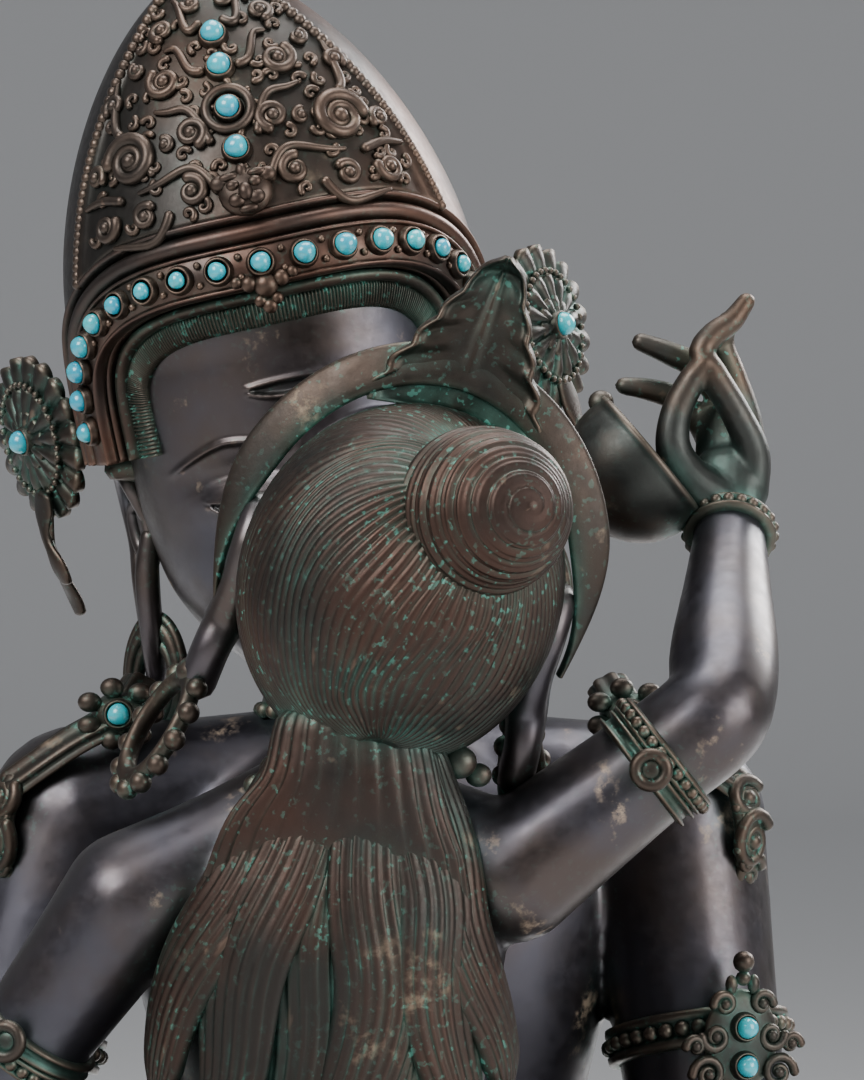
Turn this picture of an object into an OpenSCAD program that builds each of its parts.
// Seated pair of deities on an oval lotus base, cast in copper alloy and assembled from separate castings.
// The main figure faces -Y. The consort sits on a peg in the main figure's lap and faces +Y.
// Millimetres, +Z up, origin at the middle of the underside of the base.

/* [Base] */
// Width of the lotus base at its foot, along X
base_w = 236; // [225:1:290]
// Depth of the lotus base at its foot, along Y
base_d = 180; // [172:1:216]
// Height of the lotus base
base_h = 60; // [48:1:80]
// Wall of the hollow base shell
base_wall = 3; // [2:0.5:4]
// Thickness of the deck that the figures stand on
deck_t = 3.5; // [2.5:0.5:6]
// Height of the plain foot band under the lower petals
foot_h = 8; // [7:0.5:12]
// How far the waist between the petal rows lies inside the foot
waist_in = 20; // [12:1:26]
// Thickness of the sealing plate under the base
plate_t = 1.6; // [1:0.2:2.4]
// Height of the sealing plate's underside above the ground
plate_rise = 2.4; // [1.6:0.2:3]
// Gap round the sealing plate
plate_gap = 0.15; // [0.1:0.05:0.4]
// Diameter of the pearls round the base
pearl_d = 3.2; // [2.4:0.2:4]

/* [Main figure] */
// Distance from the middle of the base back to the main figure's spine
main_back = 28; // [26:1:34]
// Rise of the belt seam above the deck
belt_rise = 42; // [38:1:52]
// Length of the torso from the belt seam to the throat seam
torso_h = 124; // [104:1:150]
// Distance between the centres of the two shoulders
shoulder_w = 94; // [88:1:112]
// Radius of the torso at the belt seam, along X
waist_r = 32; // [28:0.5:35]
// Radius of the chest, along X
chest_r = 40; // [36:0.5:44]
// Wall of the hollow heads at their thinnest
cast_wall = 3.2; // [2.4:0.2:4]
// Width of the head without its crown
head_w = 55; // [46:1:64]
// Depth of the head without its crown
head_d = 58; // [50:1:60]
// Height of the head without its crown
head_h = 62; // [54:1:66]
// Sideways tilt of the head in degrees
head_tilt = 12.3; // [4:0.1:16]

/* [Crown] */
// Greatest radius of the crown cap
crown_r = 33; // [33:0.2:39]
// Height of the cap's dome above its widest point
crown_h = 53; // [44:1:64]
// Wall of the crown cap
crown_wall = 1.6; // [1.2:0.1:2.2]
// Diameter of the large turquoise stones
stone_d = 3.4; // [2.8:0.1:4]
// Number of stones in the crown band, an odd number
band_stones = 19; // [13:2:19]

/* [Consort] */
// Distance from the middle of the base forward to the consort's spine
consort_front = 26; // [26:1:32]
// Length of the consort's torso from the seat to the top of the neck
consort_h = 127; // [106:1:152]
// Radius of the consort's hips, along X
hip_r = 27; // [23:0.5:29]
// Width of the consort's head
consort_head_w = 46.6; // [39:0.2:54]
// Height of the consort's head
consort_head_h = 53; // [45:1:60]
// Sideways tilt of the consort's head in degrees
consort_tilt = 17; // [10:1:22]
// Radius of the skull cup in the consort's raised hand
cup_r = 12; // [10:0.5:13]

/* [Fits] */
// Diameter of the seat peg that carries the consort
peg_d = 10; // [8:0.5:12]
// How far the seat peg stands into the consort
peg_h = 10; // [8:1:12]
// Radial gap of every peg, tenon and collar
fit_gap = 0.05; // [0.03:0.01:0.1]
// Diameter of the tenons that join the castings
tenon_d = 8; // [6:0.5:9]
// Length of those tenons
tenon_h = 7; // [5:0.5:8]

/* [Hidden] */
$fn = 48;

joint_round = 1.03;                 // joint balls stand this much proud of the limbs they join
bore = tenon_d / 2 + fit_gap;
consort_x = -6;                     // the consort sits a little to the right hand of the main figure
base_r = base_w / 2;
base_ky = base_d / base_w;
base_fn = 64;                       // sides of the oval; every part that meets it shares them
depth_k = 0.62;                     // depth over width of the main torso
consort_k = 0.72;                   // depth over width of the consort's torso
deck_z = base_h;
belt_z = deck_z + belt_rise;
throat_z = belt_z + torso_h;
shoulder_z = throat_z - 21;
seat_z = belt_z - 7;                // the consort's flat seat, a little under the belt seam

// Main figure: shoulders, elbows and wrists; the left side is at +X
shoulder_l = [shoulder_w / 2, main_back, shoulder_z];
shoulder_r = [-shoulder_w / 2, main_back, shoulder_z];
elbow_l = shoulder_l + [7, -12, -55];
elbow_r = shoulder_r + [-17, -8, -55];
wrist_y = -consort_front - hip_r * consort_k + 1;
wrist_l = [consort_x + hip_r - 2, wrist_y, elbow_l.z - 9];
wrist_r = [consort_x - hip_r + 4, wrist_y, elbow_r.z - 3];
shoulder_ball = 16;
upper_r1 = 13.4;
upper_r2 = 11.4;
fore_r1 = 10.6;
fore_r2 = 7.4;
armlet_at = 35;                     // from the shoulder's centre down to the armlet seam
palm_l = wrist_l + [-13, -4.5, 0];
palm_r = wrist_r + [12, -14, 0];

// Heads
neck = [-2, main_back, throat_z];
head_axis = [-sin(head_tilt), 0, cos(head_tilt)];
head_c = neck + head_axis * (head_h / 2 + 2) + [-0.6, 0, 0];
head_nod = 6;                       // the main face looks down by this much
crown_z0 = 32;                      // the cap's widest point above the head's centre
crown_foot = 12;                    // the cap's lower edge at the sides and back
crown_top = crown_z0 + crown_h;
arch_w = crown_r - 1.2;              // half width of the band's middle line
arch_h = crown_z0 + 6.6 - crown_foot; // its height above the cap's lower edge

// Consort: everything hangs from the seat
consort_top = seat_z + consort_h;
c_neck = [consort_x + 2, -consort_front - 1, consort_top - 7];
c_shoulder_l = [consort_x - 30, -consort_front - 4, consort_top - 26];
c_shoulder_r = [consort_x + 27, -consort_front - 4, consort_top - 22];
c_elbow_l = c_shoulder_l + [-23, 8, -32];
c_elbow_r = c_shoulder_r + [31.5, 0, 24.5];
c_wrist_l = [elbow_r.x - 15, 8, c_elbow_l.z + 13];
c_wrist_r = c_elbow_r + [3, 33, 28];
c_upper_r1 = 10;
c_upper_r2 = 8.4;
c_fore_r1 = 7.8;
c_fore_r2 = 5.6;
c_armlet_at = 27;
c_head_c = [4.4, -consort_front - 10, consort_top + 21.3];
c_head_d = 50;
c_palm_l = c_wrist_l + [-1, 12, 7];
c_palm_r = c_wrist_r + [-1.5, 0.5, 14];
cup_c = c_wrist_r + [-13.9, 1, 9];
c_hip_l = [consort_x - 15, -consort_front + 6, seat_z + 18];
c_hip_r = [consort_x + 15, -consort_front + 6, seat_z + 18];
c_knee_x = waist_r + 32;
c_ankle_y = main_back + waist_r * depth_k + 21;

// Main figure's legs
hip_x = 26;
knee_x = base_r - 30;
knee_y = -14;
knee_z = deck_z + 15;

function lerp(a, b, t) = a + (b - a) * t;
function dir(p, q) = (q - p) / norm(q - p);
// The cap's profile: knots from the lower edge up to the top, closer together where it curves in.
cap_knots = 16;
cap_table = concat([[crown_foot, crown_r]], [for (i = [0:cap_knots]) let(h = 1 - pow(1 - i / cap_knots, 1.6))
    [crown_z0 + crown_h * h, crown_r * pow(1 - pow(h, 1.7), 0.625)]]);
function cap_radius(z) = lookup(z, cap_table);
function smooth(t) = t * t * (3 - 2 * t);
// The way the cap's surface faces at height z, in degrees above level.
function cap_facing(z) = atan2(cap_radius(z - 0.5) - cap_radius(z + 0.5), 1);
// A point at angle a from the front and height z: skin out level from the cap, then out along its normal.
function on_cap(a, z, skin = 0, out = 0) = let(f = cap_facing(z), r = cap_radius(z) + skin + out * cos(f))
    [r * sin(a), -r * cos(a), z + out * sin(f)];
// The jewelled band follows an arch with square shoulders: t runs from -90 to 90 degrees.
function arch(t, grow = 0) = [sign(t) * (arch_w + grow) * sqrt(abs(sin(t))),
    crown_foot + (arch_h + grow) * sqrt(abs(cos(t)))];

// A round bar from p to q.
module bar(p, q, r1, r2) {
    v = q - p;
    translate(p) rotate([0, acos(v.z / norm(v)), atan2(v.y, v.x)]) cylinder(h = norm(v), r1 = r1, r2 = r2);
}
module ball(p, r) translate(p) sphere(r = r);
module egg(p, size) translate(p) scale(size) sphere(r = 1);
// A bored ring round the axis from p along d, centred at p.
module collar(p, d, w, bore_r, outer_r) difference() {
    bar(p - d * w / 2, p + d * w / 2, outer_r, outer_r);
    bar(p - d * w, p + d * w, bore_r + fit_gap, bore_r + fit_gap);
}
module turned(profile, ky) scale([1, ky, 1]) rotate_extrude() polygon(profile);
// Points round an oval of half width r, matching the sides of the base.
function oval(r) = [for (i = [0:base_fn - 1]) let(a = i * 360 / base_fn) [r * cos(a), r * base_ky * sin(a)]];
// Stands its children on the cap, +Z outwards.
module at_cap(a, z, skin = 0, out = 0) translate(on_cap(a, z, skin, out))
    rotate([90 - cap_facing(z), 0, a]) children();
module in_head() translate(head_c) rotate([0, -head_tilt, 0]) rotate([head_nod, 0, 0]) children();
module in_consort_head() translate(c_head_c) rotate([0, consort_tilt, 0]) rotate([14, 0, 0]) children();

// ---- Base ----
// Half outline of the base, moved inwards by inset: foot, lower petals, waist, upper petals, top band.
petal_z0 = foot_h + pearl_d;
petal_z2 = base_h - deck_t - pearl_d - 2;
petal_mid = (petal_z0 + petal_z2) / 2;
waist_r0 = base_r - waist_in;
top_r = base_r - 7;
function base_outline(inset) = concat(
    [[base_r - inset, foot_h]],
    [for (a = [0:22.5:90]) [waist_r0 - inset + (waist_in - 3) * cos(a),
        petal_z0 + (petal_mid - petal_z0) * sin(a)]],
    [for (a = [30:30:90]) [waist_r0 - inset + (top_r - waist_r0) * sin(a),
        petal_mid + (petal_z2 - petal_mid) * (1 - cos(a))]]);
module base_shell() color("#4a3a30") difference() {
    scale([1, base_ky, 1]) rotate_extrude($fn = base_fn) polygon(concat([[0, 0], [base_r, 0]], base_outline(0),
        [[top_r - 2, petal_z2 + 0.01], [top_r - 2, petal_z2 + pearl_d], [top_r, petal_z2 + pearl_d],
        [top_r, base_h - 1], [top_r - 1, base_h], [0, base_h]]));
    scale([1, base_ky, 1]) rotate_extrude($fn = base_fn) polygon(concat([[0, plate_rise + plate_t],
        [base_r - base_wall - 3, plate_rise + plate_t]], base_outline(base_wall),
        [[top_r - base_wall - 2, base_h - deck_t - 3], [top_r - base_wall - 5, base_h - deck_t],
        [0, base_h - deck_t]]));
    translate([0, 0, -1]) linear_extrude(height = 1 + plate_rise + plate_t) polygon(oval(base_r - base_wall));
    for (x = tang_x) translate([x, main_back, base_h - deck_t - 1])
        cylinder(h = deck_t + 2, r = tang_r + fit_gap);
}
tang_x = [-22, 22];
tang_r = 4;
tang_h = 9;
module base_plate() color("#8a5a3a") translate([0, 0, plate_rise]) linear_extrude(height = plate_t)
    polygon(oval(base_r - base_wall - plate_gap));
// A round wire laid in the channel under the deck's edge.
module base_beading() color("#5a463a") translate([0, 0, petal_z2 + pearl_d / 2]) scale([1, base_ky, 1])
    rotate_extrude($fn = base_fn) translate([top_r - 2 + pearl_d / 2 + fit_gap, 0])
        circle(r = pearl_d / 2 - fit_gap, $fn = 12);
module tang_pins() color("#8a5a3a") for (x = tang_x)
    translate([x, main_back + 9, base_h - deck_t - pin_r]) rotate([90, 0, 0]) cylinder(h = 18, r = pin_r);

// ---- Main figure ----
module main_lap() color("#43352d") difference() {
    union() {
        difference() {
            union() {
                intersection() {
                    egg([0, main_back - 2, deck_z + 22], [44, 31, 27]);
                    translate([-60, -60, deck_z - 1]) cube([120, 160, belt_rise + 1]);
                }
                for (s = [-1, 1]) {
                    bar([s * hip_x, main_back - 6, deck_z + 20], [s * knee_x, knee_y, knee_z], 19, 14.2);
                    ball([s * knee_x, knee_y, knee_z], 14.8);
                    bar([s * knee_x, knee_y, knee_z - 1], ankle(s), 13, 9.4);
                    egg([s * 42, -4, deck_z + 31], [17, 8, 6]);
                }
                translate([consort_x, -consort_front, deck_z - 1])
                    cylinder(h = seat_z - deck_z + 1, r = 19);
            }
            translate([-base_r, -base_r, deck_z - 30]) cube([base_w, base_w, 30]);
        }
        for (x = tang_x) translate([x, main_back, base_h - deck_t - tang_h])
            cylinder(h = deck_t + tang_h + 4, r = tang_r);
        translate([0, main_back, belt_z - 6]) cylinder(h = 6 + tenon_h, r = spigot_r);
    }
    translate([consort_x, -consort_front, seat_z - peg_sink])
        cylinder(h = peg_sink + 1, r = peg_d / 2 + fit_gap);
    for (x = tang_x) translate([x, main_back + 12, base_h - deck_t - pin_r]) rotate([90, 0, 0])
        cylinder(h = 24, r = pin_r + fit_gap);
}
function ankle(s) = [s * 9, -52, deck_z + 10.5];
spigot_r = 12;
peg_sink = 14;
pin_r = 1.4;
module seat_peg() color("#7d5c42") translate([consort_x, -consort_front, seat_z - peg_sink])
    cylinder(h = peg_sink + peg_h, r = peg_d / 2);
module main_torso_outline() {
    translate([0, main_back, belt_z]) turned([[0, 0], [waist_r, 0], [waist_r - 3, 20], [waist_r - 0.5, 48],
        [chest_r - 3, torso_h - 48], [chest_r, torso_h - 30], [chest_r - 4, torso_h - 18], [20, torso_h - 9],
        [13, torso_h - 4], [0, torso_h - 4]], depth_k);
    translate([neck.x, neck.y, throat_z - 16]) cylinder(h = 16, r = 12.8);
    for (side = [[shoulder_l, elbow_l], [shoulder_r, elbow_r]]) {
        ball(side[0], shoulder_ball);
        bar(side[0], side[0] + dir(side[0], side[1]) * armlet_at, upper_r1 + 1, upper_r1);
    }
}
module main_torso() color("#43352d") difference() {
    main_torso_outline();
    translate([0, main_back, belt_z]) turned([[0, tenon_h + 3], [waist_r - 8, tenon_h + 3], [waist_r - 7, 22],
        [waist_r - 5, 48], [chest_r - 8, torso_h - 48], [chest_r - 6, torso_h - 30],
        [chest_r - 14, torso_h - 22], [0, torso_h - 22]], depth_k);
    translate([0, main_back, belt_z - 1]) cylinder(h = tenon_h + 6, r = spigot_r + fit_gap);
    translate([neck.x, neck.y, throat_z - 25]) cylinder(h = 26, r = bore);
    for (side = [[shoulder_l, elbow_l], [shoulder_r, elbow_r]]) {
        seam = side[0] + dir(side[0], side[1]) * armlet_at;
        bar(seam - dir(side[0], side[1]) * (tenon_h + 0.3), seam + dir(side[0], side[1]), bore, bore);
    }
}
module main_head() color("#4b3c34") difference() {
    union() {
        difference() {
            bar(neck - head_axis * 5, neck + head_axis * 14, 12.4, 12);
            translate(neck - [20, 20, 12]) cube([40, 40, 12]);
        }
        translate(neck - [0, 0, tenon_h]) cylinder(h = tenon_h + 2, r = tenon_d / 2);
        in_head() {
            scale([head_w / 2, head_d / 2, head_h / 2]) sphere(r = 1);
            bar([0, -head_d / 2 + 3, 4], [0, -head_d / 2 - 1, -8], 2.4, 3.6);
            difference() {
                translate([0, 0, crown_foot - 5]) cylinder(h = 5, r = crown_r);
                translate([-45, -53, crown_foot - 6]) cube([90, 46, 8]);
            }
            for (s = [-1, 1]) egg([s * (head_w / 2 + 0.5), 3, -6], [3, 6, 16]);
        }
    }
    in_head() translate([0, 0, -head_h / 4]) cylinder(h = head_h / 2, r = 0.4 * head_w - cast_wall);
    translate(neck - [0, 0, tenon_h + 1]) cylinder(h = head_h / 2, r = 2.4);
}
// The belt rests on the lap casting's flat top round the foot of the torso.
module main_belt() color("#5a463a") translate([0, main_back, belt_z]) scale([1, depth_k, 1]) difference() {
    cylinder(h = 8, r = waist_r + fit_gap + 3);
    translate([0, 0, -1]) cylinder(h = 10, r = waist_r + fit_gap);
}
// A round torque on the neck just under the throat seam.
module main_necklace() color("#5a463a") translate([neck.x, neck.y, throat_z - 1.9]) difference() {
    rotate_extrude() translate([14.2, 0]) circle(r = 2);
    translate([0, 0, -4]) cylinder(h = 8, r = 12.8 + fit_gap);
}
module arm(shoulder, elbow, wrist, at, r1, r2, r3, r4) {
    d = dir(shoulder, elbow);
    seam = shoulder + d * at;
    difference() {
        union() {
            bar(seam, elbow, r1, r2);
            bar(seam - d * tenon_h, seam + d, tenon_d / 2, tenon_d / 2);
            ball(elbow, r2 * joint_round);
            bar(elbow, wrist, r3, r4);
        }
        bar(wrist - dir(elbow, wrist) * (hand_tenon_h + 0.3), wrist + dir(elbow, wrist), hand_bore, hand_bore);
    }
}
hand_tenon_d = 6;
hand_tenon_h = 5;
hand_bore = hand_tenon_d / 2 + fit_gap;
module main_arm_left() color("#43352d")
    arm(shoulder_l, elbow_l, wrist_l, armlet_at, upper_r1, upper_r2, fore_r1, fore_r2);
module main_arm_right() color("#43352d")
    arm(shoulder_r, elbow_r, wrist_r, armlet_at, upper_r1, upper_r2, fore_r1, fore_r2);
// A hand: wrist tenon, palm, and fingers as [start, middle, tip] offsets from the palm's centre.
module hand(elbow, wrist, palm, wrist_r, palm_r, fingers, finger_r) {
    d = dir(elbow, wrist);
    bar(wrist - d * hand_tenon_h, wrist + d, hand_tenon_d / 2, hand_tenon_d / 2);
    difference() {
        union() {
            bar(wrist - d * 4, wrist + d * 2.4, wrist_r, wrist_r);
            bar(wrist + d * 1.6, palm, wrist_r * 0.9, palm_r);
            ball(palm, palm_r * joint_round);
        }
        bar(wrist - d * 12, wrist, 14, 14);
    }
    for (f = fingers) {
        bar(palm + f[0], palm + f[1], finger_r, finger_r * 0.95);
        ball(palm + f[1], finger_r);
        bar(palm + f[1], palm + f[2], finger_r * 0.95, finger_r * 0.75);
    }
}
module main_hand_left() color("#43352d") hand(elbow_l, wrist_l, palm_l, fore_r2, 5.6,
    [for (i = [-1.5:1:1.5]) [[-2, 0, i * 2.6], [-13, 0, i * 3.2], [-24, 1, i * 3.4]]], 2.1);
module main_hand_right() color("#43352d") hand(elbow_r, wrist_r, palm_r, fore_r2, 5.6,
    [for (i = [-1.5:1:1.5]) [[2, 0, i * 2.6], [13, -2, i * 3.2], [24, -2, i * 3.4]]], 2.1);
module armlet(shoulder, elbow, at, limb_r, turn) {
    d = dir(shoulder, elbow);
    p = shoulder + d * at;
    out = [sin(turn), -cos(turn), 0];
    collar(p, d, 6, limb_r + 0.09, limb_r + 2.4);
    difference() {
        bar(p + out * (limb_r + 1), p + out * (limb_r + 4), 8, 6.6);
        bar(p - d * 12, p + d * 12, limb_r + 0.6, limb_r + 0.6);
    }
}
armlet_turn = [22, 12];              // the plaques look this far to +X of straight ahead, left and right arm
module main_armlet_left() color("#5a463a") armlet(shoulder_l, elbow_l, armlet_at, upper_r1, armlet_turn[0]);
module main_armlet_right() color("#5a463a") armlet(shoulder_r, elbow_r, armlet_at, upper_r1, armlet_turn[1]);
module main_stones() color("#2fa5b5") {
    for (k = [0, 1]) {
        shoulder = [shoulder_l, shoulder_r][k];
        elbow = [elbow_l, elbow_r][k];
        out = [sin(armlet_turn[k]), -cos(armlet_turn[k]), 0];
        for (z = [-3, 3]) ball(shoulder + dir(shoulder, elbow) * armlet_at
            + out * (upper_r1 + 4 + stone_d / 2) + [0, 0, z], stone_d / 2);
    }
    for (s = [-1, 1]) ball(ribbon_knot(s) + [0, -5 - stone_d / 2, 0], stone_d / 2);
}
module main_bracelets() color("#5a463a") {
    collar(wrist_l - dir(elbow_l, wrist_l) * 2.2, dir(elbow_l, wrist_l), 3.6, fore_r2 + 0.2, fore_r2 + 2);
    collar(wrist_r - dir(elbow_r, wrist_r) * 2.2, dir(elbow_r, wrist_r), 3.6, fore_r2 + 0.2, fore_r2 + 2);
}
module main_anklets() color("#5a463a") for (s = [-1, 1]) {
    knee = [s * knee_x, knee_y, knee_z - 1];
    intersection() {
        collar(lerp(knee, ankle(s), 0.6), dir(knee, ankle(s)), 3.4, 10.92, 12.8);
        translate([-base_r, -base_r, deck_z]) cube([base_w, base_w, 40]);
    }
}
module main_earrings() color("#5a463a") for (s = [-1, 1])
    in_head() translate([s * (head_w / 2 + 4), 1, -25]) rotate([0, head_tilt, 0]) rotate([0, 0, s * 40])
        scale([0.75, 1, 1.25]) rotate([90, 0, 0]) rotate_extrude() translate([6.4, 0]) circle(r = 2.2);
// A ribbon that falls from beside the neck over the shoulder, with a jewelled knot.
function on_shoulder(s, az, el, out) = [s * shoulder_w / 2, main_back, shoulder_z]
    + (shoulder_ball + out) * [s * sin(az) * cos(el), -cos(az) * cos(el), sin(el)];
function ribbon_knot(s) = on_shoulder(s, -30, 52, 6.4);
module shoulder_ribbons() color("#5a463a") for (s = [-1, 1]) {
    path = [on_shoulder(s, -60, 62, 9), ribbon_knot(s), on_shoulder(s, 6, 44, 2), on_shoulder(s, 40, 22, 1.2)];
    for (i = [0:2]) hull() {
        ball(path[i], 2.6, $fn = 16);
        ball(path[i + 1], 2.6, $fn = 16);
    }
    hull() ball(path[1], 5, $fn = 24);
}
// Scrolled ends of the ribbons, in front of the upper arms.
module shoulder_scrolls() color("#5a463a") for (s = [-1, 1]) {
    translate(on_shoulder(s, 42, 12, 1.5)) rotate([90, 0, s * 42])
        rotate_extrude() translate([2.4, 0]) circle(r = 1.4);
    translate(on_shoulder(s, 44, -12, 1.8)) rotate([90, 0, s * 44]) scale([1, 1.6, 1])
        rotate_extrude() translate([3, 0]) circle(r = 1.7);
}

// ---- Crown ----
module cap_section(out, z0, z1) polygon(concat([[0, z0], [max(0.01, cap_radius(z0) + out), z0]],
    [for (k = cap_table) if (k[0] > z0 && k[0] < z1) [max(0.01, k[1] + out), k[0]]],
    [[max(0.01, cap_radius(z1) + out), z1], [0, z1]]));
module crown_cap() color("#50382c") in_head() difference() {
    rotate_extrude() cap_section(0, crown_foot, crown_top);
    rotate_extrude() cap_section(-crown_wall, crown_foot - 1, crown_top - crown_wall * 2);
    // the opening for the brow follows the band's inner edge
    arch_window(-3.6);
    translate([0, 0, crown_top - 8]) cylinder(h = 10, r = finial_peg_r + fit_gap);
    for (s = [-1, 1]) rotate([0, 0, s * fan_at]) translate([0, -crown_r + 4, fan_z]) rotate([90, 0, 0])
        cylinder(h = 8, r = fan_peg_r + fit_gap);
}
finial_peg_r = 2;
fan_at = 97;                        // the fans are pegged to the cap this far round from the front
fan_z = crown_foot + 5;
fan_peg_r = 2.4;
// Everything inside an arch, in front of the fans.
module arch_window(grow, back = 0) translate([0, back, 0]) rotate([90, 0, 0]) linear_extrude(height = 60)
    polygon(concat([[-arch_w - grow, crown_foot - 2]], [for (t = [-90:7.5:90]) arch(t, grow)],
        [[arch_w + grow, crown_foot - 2]]));
// A raised strip between two arches, standing off the cap from in to out.
module arch_strip(grow0, grow1, in, out) intersection() {
    difference() {
        rotate_extrude() cap_section(out, crown_foot, crown_z0 + 20);
        rotate_extrude() cap_section(in, crown_foot - 1, crown_z0 + 21);
    }
    difference() {
        arch_window(grow1, -7);
        arch_window(grow0);
    }
}
panel_half = 56;                    // the panel reaches this far round the cap to each side, in degrees
panel_top = crown_top - 5;
panel_t = 1.6;
band_t = 1.8;
module crown_panel() color("#43352d") in_head() difference() {
    intersection() {
        difference() {
            rotate_extrude() cap_section(panel_t, crown_z0 - 4, panel_top);
            rotate_extrude() cap_section(fit_gap, crown_z0 - 5, panel_top + 1);
        }
        linear_extrude(height = 100) polygon([[0, 0], [60 * sin(panel_half), -60 * cos(panel_half)], [0, -80],
            [-60 * sin(panel_half), -60 * cos(panel_half)]]);
    }
    arch_window(6.7);
}
module crown_moulding() color("#3f322b") in_head() arch_strip(3.3, 6.5, fit_gap, 2.4);
module crown_band() color("#43352d") in_head() arch_strip(-3.2, 3.2, fit_gap, band_t);
function stone_t(k) = sign(k) * 90 * smooth(abs(k) / ((band_stones + 1) / 2));
function stone_spot(k) = let(p = arch(stone_t(k))) [asin(p.x / (cap_radius(p.y) + band_t)), p.y];
band_half = (band_stones - 1) / 2;
column_z = [crown_z0 + 23.8, crown_z0 + 29.8, crown_z0 + 36.1, crown_z0 + 40.9];
module bezel(outer, h) difference() {
    cylinder(h = h, r1 = outer, r2 = outer - 0.3);
    translate([0, 0, 0.5]) cylinder(h = h, r = stone_d / 2 + fit_gap);
}
module crown_bezels() color("#6b5040") in_head() {
    for (k = [-band_half:band_half]) at_cap(stone_spot(k)[0], stone_spot(k)[1], band_t, 0.05)
        bezel(stone_d / 2 + 0.6, 1.6);
    for (i = [0:3]) at_cap(0, column_z[i], panel_t, 0.05) bezel(stone_d / 2 + (i == 1 ? 1.6 : 0.7), 1.6);
}
module crown_stones() color("#2fa5b5") in_head() {
    for (k = [-band_half:band_half]) at_cap(stone_spot(k)[0], stone_spot(k)[1], band_t, 0.57 + stone_d / 2)
        sphere(r = stone_d / 2);
    for (z = column_z) at_cap(0, z, panel_t, 0.57 + stone_d / 2) sphere(r = stone_d / 2);
}
// Beading along both edges of the panel.
module crown_pearls() color("#5a463a") in_head() for (s = [-1, 1]) for (i = [0:17]) {
    z = lerp(crown_z0 + 13.5, panel_top - 3, i / 17);
    at_cap(s * (panel_half + 75 / cap_radius(z)), z, 0, 1.04) sphere(r = 1, $fn = 24);
}
// Spirals and curls on the panel, each as [degrees round, height above the cap's widest point, radius].
scrolls = [[35, 25, 4.2], [23, 35, 2.7], [15, 18.4, 2.6], [29, 17, 2.2], [43, 16, 2.6], [48.5, 23, 1.9],
    [13.5, 27, 2.6], [25, 42.5, 2.2], [45, 33.5, 2]];
module crown_scrolls() color("#5a463a") in_head() for (s = [-1, 1]) for (p = scrolls)
    at_cap(s * p[0], crown_z0 + p[1], panel_t, 0.98) rotate_extrude() translate([p[2] - 0.9, 0])
        circle(r = 0.9, $fn = 24);
// A small guardian mask under the column of stones.
module crown_mask() color("#6b5040") in_head() at_cap(0, crown_z0 + 17.2, panel_t, 0.05) intersection() {
    union() {
        scale([1, 0.9, 0.6]) sphere(r = 4.4);
        for (s = [-1, 1]) translate([s * 3.6, 2, 0.5]) sphere(r = 1.6);
    }
    translate([-8, -8, 0]) cube([16, 16, 8]);
}
module crown_finial() color("#5a463a") in_head() translate([0, 0, crown_top]) rotate_extrude() polygon([
    [0, -5], [finial_peg_r, -5], [finial_peg_r, 0.2], [5, 0.2], [6, 2], [3, 4], [4.6, 7], [3.6, 10],
    [1, 13], [0, 13.4]]);
fan_r = 13.6;
module at_fan(s) in_head() rotate([0, 0, s * fan_at]) translate([0, -crown_r - 9, fan_z]) children();
// A pleated rosette on a peg through the cap's side.
module fan(s) at_fan(s) {
    rotate([90, 0, -s * 37]) difference() {
        translate([0, 0, -1.2]) cylinder(h = 2.4, r = fan_r);
        for (i = [0:15]) rotate([0, 0, i * 22.5]) translate([4.5, 0, 1.9]) rotate([0, 90, 0])
            cylinder(h = 10, r = 1.1, $fn = 24);
        translate([0, 0, 0.6]) cylinder(h = 2, r = stone_d / 2 + fit_gap);
    }
    translate([0, 10.6, 0]) rotate([90, 0, 0]) cylinder(h = 10, r = fan_peg_r);
    translate([0, 8.9, 0]) rotate([90, 0, 0]) cylinder(h = 8.5, r = fan_peg_r + 1);
}
module fan_left() color("#4d4a3a") fan(1);
module fan_right() color("#4d4a3a") fan(-1);
module fan_stones() color("#2fa5b5") for (s = [-1, 1]) at_fan(s) rotate([90, 0, -s * 37])
    translate([0, 0, 0.65 + stone_d / 2]) sphere(r = stone_d / 2);

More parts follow.
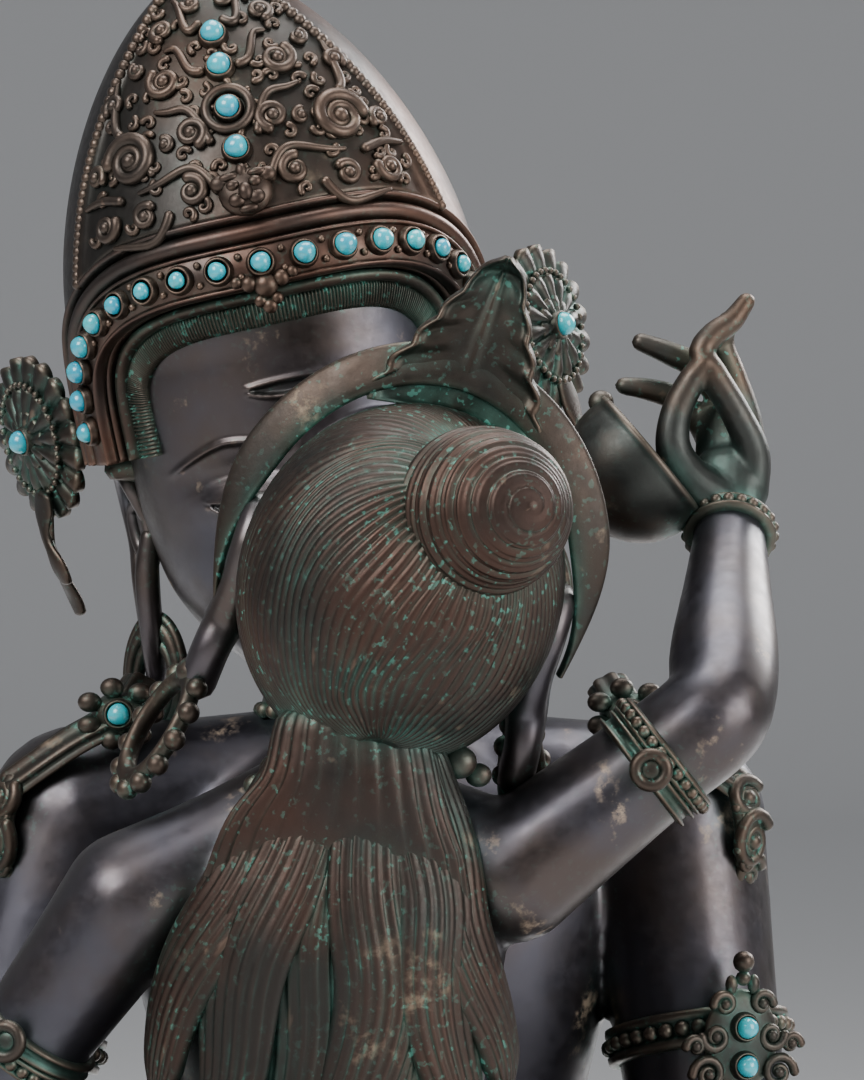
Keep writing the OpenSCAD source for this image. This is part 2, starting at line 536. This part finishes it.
// ---- Consort ----
// The consort's body as a turned profile, grown by a gap where other parts are fitted round it. The hips are
// widest low down, so the body can lift past the arms that embrace its waist.
girdle_z = 23;
girdle_r = hip_r - 4;
function consort_body(gap, top) = [[0, 0], [19 + gap, 0], [hip_r - 1 + gap, 6], [hip_r + gap, 13],
    [hip_r - 1.5 + gap, 19], [girdle_r + gap, girdle_z], [girdle_r - 0.6 + gap, girdle_z + 5], [21.5 + gap, 50],
    [22.5 + gap, 72], [27 + gap, consort_h - 33], [27 + gap, consort_h - 22], [19 + gap, consort_h - 14],
    [9.5 + gap, consort_h - 10], [9.5 + gap, top], [0, top]];
module consort_torso() color("#4a3c33") difference() {
    union() {
        translate([consort_x, -consort_front, seat_z]) turned(consort_body(0, consort_h - 9.9), consort_k);
        translate(c_neck - [0, 0, 9]) cylinder(h = 9, r = 8.4);
        for (side = [[c_shoulder_l, c_elbow_l], [c_shoulder_r, c_elbow_r]]) {
            ball(side[0], c_upper_r1 + 0.8);
            bar(side[0], side[0] + dir(side[0], side[1]) * c_armlet_at, c_upper_r1, c_upper_r2 + 0.4);
        }
    }
    translate([consort_x, -consort_front, seat_z - 1]) cylinder(h = peg_h + 1.5, r = peg_d / 2 + fit_gap);
    translate([consort_x, -consort_front, seat_z]) turned([[0, peg_h + 3], [hip_r - 6, peg_h + 4],
        [hip_r - 8, 19], [girdle_r - 4.6, girdle_z + 2], [17.4, 50], [18.4, 72], [22, consort_h - 33],
        [20, consort_h - 24], [0, consort_h - 20]], consort_k);
    translate([consort_x, -consort_front, seat_z + peg_h]) cylinder(h = 6, r = 3);
    translate(c_neck - [0, 0, tenon_h + 0.3]) cylinder(h = tenon_h + 1, r = bore);
    for (leg = [[-1, c_hip_l], [1, c_hip_r]]) {
        d = dir(leg[1], knee(leg[0]));
        seam = leg_seam(leg[1], d);
        bar(seam - d * (tenon_h + 0.3), seam + d, bore, bore);
    }
    for (side = [[c_shoulder_l, c_elbow_l], [c_shoulder_r, c_elbow_r]]) {
        seam = side[0] + dir(side[0], side[1]) * c_armlet_at;
        bar(seam - dir(side[0], side[1]) * (tenon_h + 0.3), seam + dir(side[0], side[1]), bore, bore);
    }
}
// Where a leg meets the hips: a flat seam just outside them, square to the thigh.
function knee(s) = [s * c_knee_x, main_back - 12, seat_z + 16];
function leg_seam(hip, d) = hip + d * (norm([hip_r * d.x, hip_r * consort_k * d.y]) + 0.1
    - (hip.x - consort_x) * d.x - (hip.y + consort_front) * d.y);
// A leg that goes out to the knee and then back round behind the main figure's waist.
module consort_leg(s, hip) {
    ankle = [s * 18, c_ankle_y, seat_z + 3];
    d = dir(hip, knee(s));
    seam = leg_seam(hip, d);
    bar(seam, knee(s), 11.4, 9);
    bar(seam - d * tenon_h, seam + d, tenon_d / 2, tenon_d / 2);
    ball(knee(s), 9.6);
    bar(knee(s), ankle, 8, 5.2);
    ball(ankle, 5.8);
    bar(ankle, ankle + [-s * 3, 6, -10], 5, 3);
}
module consort_leg_left() color("#4a3c33") consort_leg(-1, c_hip_l);
module consort_leg_right() color("#4a3c33") consort_leg(1, c_hip_r);
// The consort's skull, grown by a gap where other parts are fitted round it.
module skull(gap) scale([consort_head_w / 2 + gap, c_head_d / 2 + gap, consort_head_h / 2 + gap]) sphere(r = 1);
module consort_head() color("#4f4338") difference() {
    union() {
        difference() {
            bar(c_neck - dir(c_neck, c_head_c) * 5, c_head_c - [1, 0, 10], 8.2, 9);
            translate(c_neck - [15, 15, 12]) cube([30, 30, 12]);
        }
        translate(c_neck - [0, 0, tenon_h]) cylinder(h = tenon_h + 2, r = tenon_d / 2);
        in_consort_head() {
            skull(0);
            bar([0, c_head_d / 2 - 3, 3], [0, c_head_d / 2 + 1, -6], 1.8, 2.8);
            for (s = [-1, 1])
                bar([s * (consort_head_w / 2 - 1), 5, 2], [s * (consort_head_w / 2 + 1), 5, -23], 4, 3);
        }
    }
    in_consort_head() {
        translate([0, 0, -consort_head_h / 4])
            cylinder(h = consort_head_h / 2, r = 0.4 * consort_head_w - cast_wall);
        bar(knot_p - knot_d * 9, knot_p + knot_d * 9, knot_peg_r + fit_gap, knot_peg_r + fit_gap);
    }
    translate(c_neck - [0, 0, tenon_h + 1]) cylinder(h = 26, r = 2.2);
}
knot_peg_r = 3;
knot_p = [9, -c_head_d / 2 + 9, consort_head_h / 2 - 10];
knot_d = [0.39, -0.9, 0.19];
module consort_topknot() color("#4a3a32") in_consort_head() {
    bar(knot_p - knot_d * 4, knot_p + knot_d, knot_peg_r, knot_peg_r);
    difference() {
        union() {
            bar(knot_p - knot_d * 5, knot_p + knot_d * 8, 11.6, 9);
            bar(knot_p + knot_d * 7.9, knot_p + knot_d * 13, 8.8, 2.5);
        }
        skull(0.1);
    }
}
// Loose hair down the back: a flat tapering slab behind the torso.
module consort_hair() color("#3f332c") difference() {
    intersection() {
        translate([consort_x, -consort_front, seat_z]) scale([1, consort_k, 1]) rotate_extrude() polygon([
            [20, 64], [24, 65], [25.4, 72], [30.4, consort_h - 33], [30.4, consort_h - 22], [22, consort_h - 12],
            [12, consort_h - 8.4], [10, consort_h - 8.4]]);
        translate([consort_x - 24, -consort_front - 60, seat_z]) cube([46, 52, consort_h]);
    }
    translate([consort_x, -consort_front, seat_z]) turned(consort_body(0.1, consort_h + 4), consort_k);
    for (side = [[c_shoulder_l, c_elbow_l], [c_shoulder_r, c_elbow_r]]) ball(side[0], c_upper_r1 + 1);
    for (side = [[c_shoulder_l, c_elbow_l], [c_shoulder_r, c_elbow_r]])
        bar(side[0], side[0] + dir(side[0], side[1]) * c_armlet_at, c_upper_r1 + 0.2, c_upper_r2 + 0.6);
    translate(c_neck - [0, 0, 14]) cylinder(h = 20, r = 11.6);
    in_consort_head() skull(0.1);
}
// An open diadem: a curved strip over the brow with one pointed leaf.
module consort_tiara() color("#3a3f35") in_consort_head() {
    translate([0, 6, 0]) rotate([90, 0, 0]) linear_extrude(height = 2, center = true) {
        difference() {
            scale([1, 1.12]) circle(r = consort_head_w / 2 + 5.6);
            scale([1, 1.12]) circle(r = consort_head_w / 2 + 3);
            translate([-50, -50]) square([100, 54]);
        }
        translate([0, consort_head_h / 2 + 3])
            polygon([[-13, -1], [-9, 6], [-4, 11], [0, 22], [4, 11], [10, 6], [13, -1]]);
        for (s = [-1, 1]) translate([s * (consort_head_w / 2 + 3.1), 3.5]) square([5, 3], center = true);
    }
}
// Oval rings hung from the ear lobes, leaning on the shoulders.
module consort_earrings() color("#3d4038") {
    translate(c_head_c + [-36.4, 9, -21.6]) rotate([0, 31, 0]) consort_earring(-1);
    translate(c_head_c + [18.4, 15.4, -30]) rotate([-14, 0, 0]) consort_earring(1);
}
module consort_earring(s) rotate([0, 0, s * 60]) scale([0.7, 1, 1.2]) rotate([90, 0, 0])
    rotate_extrude() translate([7.8, 0]) circle(r = 2.2);
module consort_necklace() color("#5a463a") translate(c_neck - [0, 0, 1.5])
    difference() {
        rotate_extrude() translate([9.8, 0]) circle(r = 1.4);
        translate([0, 0, -4]) cylinder(h = 8, r = 8.4 + fit_gap);
    }
module consort_arm_left() color("#4a3c33")
    arm(c_shoulder_l, c_elbow_l, c_wrist_l, c_armlet_at, c_upper_r2 + 0.4, c_upper_r2, c_fore_r1, c_fore_r2);
module consort_arm_right() color("#4a3c33")
    arm(c_shoulder_r, c_elbow_r, c_wrist_r, c_armlet_at, c_upper_r2 + 0.4, c_upper_r2, c_fore_r1, c_fore_r2);
module consort_hand_left() color("#4a3c33") hand(c_elbow_l, c_wrist_l, c_palm_l, c_fore_r2, 3.6,
    [for (i = [-1.5:1:1.5]) [[0, 1, i * 1.7], [1, 9, 4 + i * 2], [3, 16, 7 + i * 2.2]]], 1.5);
module consort_hand_right() color("#4a3c33") hand(c_elbow_r, c_wrist_r, c_palm_r, c_fore_r2, 4.6, [
    [[0, 0, 1], [1, 1, 11], [5.4, 1, 20]], [[1, 0, 1], [4.8, 0, 9], [4.2, 0, 17.5]],
    [[-1, 0, 2], [-4, 3, 8], [-12.5, 3, 13]], [[-1, 0, 0], [-5, 4, 4], [-14.5, 4, 7]]], 1.5);
module consort_armlets() color("#5a463a") for (side = [[c_shoulder_l, c_elbow_l], [c_shoulder_r, c_elbow_r]]) {
    d = dir(side[0], side[1]);
    collar(side[0] + d * c_armlet_at, d, 5, c_upper_r2 + 0.6, c_upper_r2 + 2.4);
}
module consort_bracelets() color("#5a463a") for (side = [[c_elbow_l, c_wrist_l], [c_elbow_r, c_wrist_r]]) {
    d = dir(side[0], side[1]);
    collar(side[1] - d * 1.9, d, 3, c_fore_r2 + 0.2, c_fore_r2 + 1.8);
}
module consort_anklets() color("#5a463a") for (s = [-1, 1]) {
    ankle = [s * 18, c_ankle_y, seat_z + 3];
    collar(lerp(knee(s), ankle, 0.84), dir(knee(s), ankle), 3, 5.72, 7.4);
}
module consort_girdle() color("#5a463a") translate([consort_x, -consort_front, seat_z + girdle_z])
    scale([1, consort_k, 1]) difference() {
        cylinder(h = 4, r = girdle_r + 2);
        translate([0, 0, -1]) cylinder(h = 6, r = girdle_r + 0.1);
    }
cup_dir = [0.77, 0, 0.64];
module skull_cup() color("#4d4a3a") difference() {
    ball(cup_c, cup_r);
    ball(cup_c, cup_r - 1.6);
    bar(cup_c + cup_dir * 1.5, cup_c + cup_dir * 20, cup_r + 2, cup_r + 2);
    consort_hand_right();
    consort_bracelets();
}

base_shell();
base_plate();
base_beading();
tang_pins();
main_lap();
main_torso();
main_head();
main_belt();
main_necklace();
main_arm_left();
main_arm_right();
main_hand_left();
main_hand_right();
main_armlet_left();
main_armlet_right();
main_bracelets();
main_anklets();
main_earrings();
shoulder_ribbons();
shoulder_scrolls();
main_stones();
crown_cap();
crown_panel();
crown_moulding();
crown_band();
crown_pearls();
crown_bezels();
crown_stones();
crown_scrolls();
crown_mask();
crown_finial();
fan_left();
fan_right();
fan_stones();
seat_peg();
consort_torso();
consort_leg_left();
consort_leg_right();
consort_head();
consort_topknot();
consort_hair();
consort_tiara();
consort_earrings();
consort_necklace();
consort_arm_left();
consort_arm_right();
consort_hand_left();
consort_hand_right();
consort_armlets();
consort_bracelets();
consort_anklets();
consort_girdle();
skull_cup();
